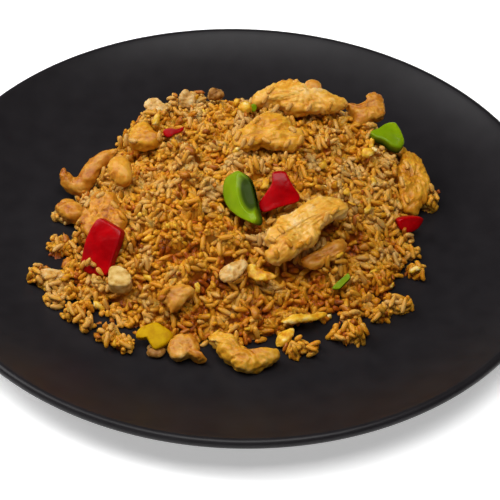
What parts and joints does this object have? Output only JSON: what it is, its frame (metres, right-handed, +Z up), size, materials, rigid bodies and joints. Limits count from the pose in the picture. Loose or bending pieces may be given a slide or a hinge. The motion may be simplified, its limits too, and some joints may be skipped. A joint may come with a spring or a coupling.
{
  "type": "plate of chicken egg fried rice",
  "caption": "Black coupe dinner plate with a mound of fried rice, chicken, egg, onion and sweet pepper, as a ready meal for one",
  "frame": {"origin": "middle of the plate's foot, on the table", "axes": "+Z up, -Y towards the viewer's side of the plate, +X to the viewer's right"},
  "size_m": [0.28, 0.28, 0.0504],
  "materials": {
    "plate_glaze": "satin black glaze, slightly glossy",
    "rice": "cooked rice fried in soy sauce, moist, oily sheen",
    "chicken": "fried chicken, golden, fibrous, thin oily sheen",
    "egg": "set scrambled egg, soft, slightly moist",
    "onion": "softened onion, translucent, moist",
    "red_pepper": "red sweet pepper skin, glossy and oily",
    "green_pepper": "green sweet pepper skin, glossy",
    "yellow_pepper": "yellow sweet pepper skin, glossy"
  },
  "bodies": {
    "root": {"chicken_back_crust": "chicken", "chicken_back_hook": "chicken", "chicken_back_left": "chicken", "chicken_back_mid": "chicken", "chicken_back_top": "chicken", "chicken_centre": "chicken", "chicken_flake_right": "chicken", "chicken_front_lobed": "chicken", "chicken_front_ribbed": "chicken", "chicken_front_strip": "chicken", "chicken_left_clump": "chicken", "chicken_left_hook": "chicken", "chicken_left_lump": "chicken", "chicken_left_pale": "chicken", "chicken_right": "chicken", "egg_bit_back": "egg", "egg_bit_mid": "egg", "egg_bit_right": "egg", "egg_fold": "egg", "egg_piece_front": "egg", "egg_spike": "egg", "egg_strip_front": "egg", "flake_far_left": "onion", "green_mid": "green_pepper", "green_right": "green_pepper", "green_sliver_front": "green_pepper", "green_tiny_back": "green_pepper", "onion_back_brown": "onion", "onion_back_flake": "onion", "onion_back_lump": "onion", "onion_chunk": "onion", "onion_front": "onion", "onion_mid": "onion", "plate": "plate_glaze", "red_back_sliver": "red_pepper", "red_left": "red_pepper", "red_mid": "red_pepper", "red_right": "red_pepper", "rice_heap": "rice", "yellow_front": "yellow_pepper"}
  },
  "joints": []
}
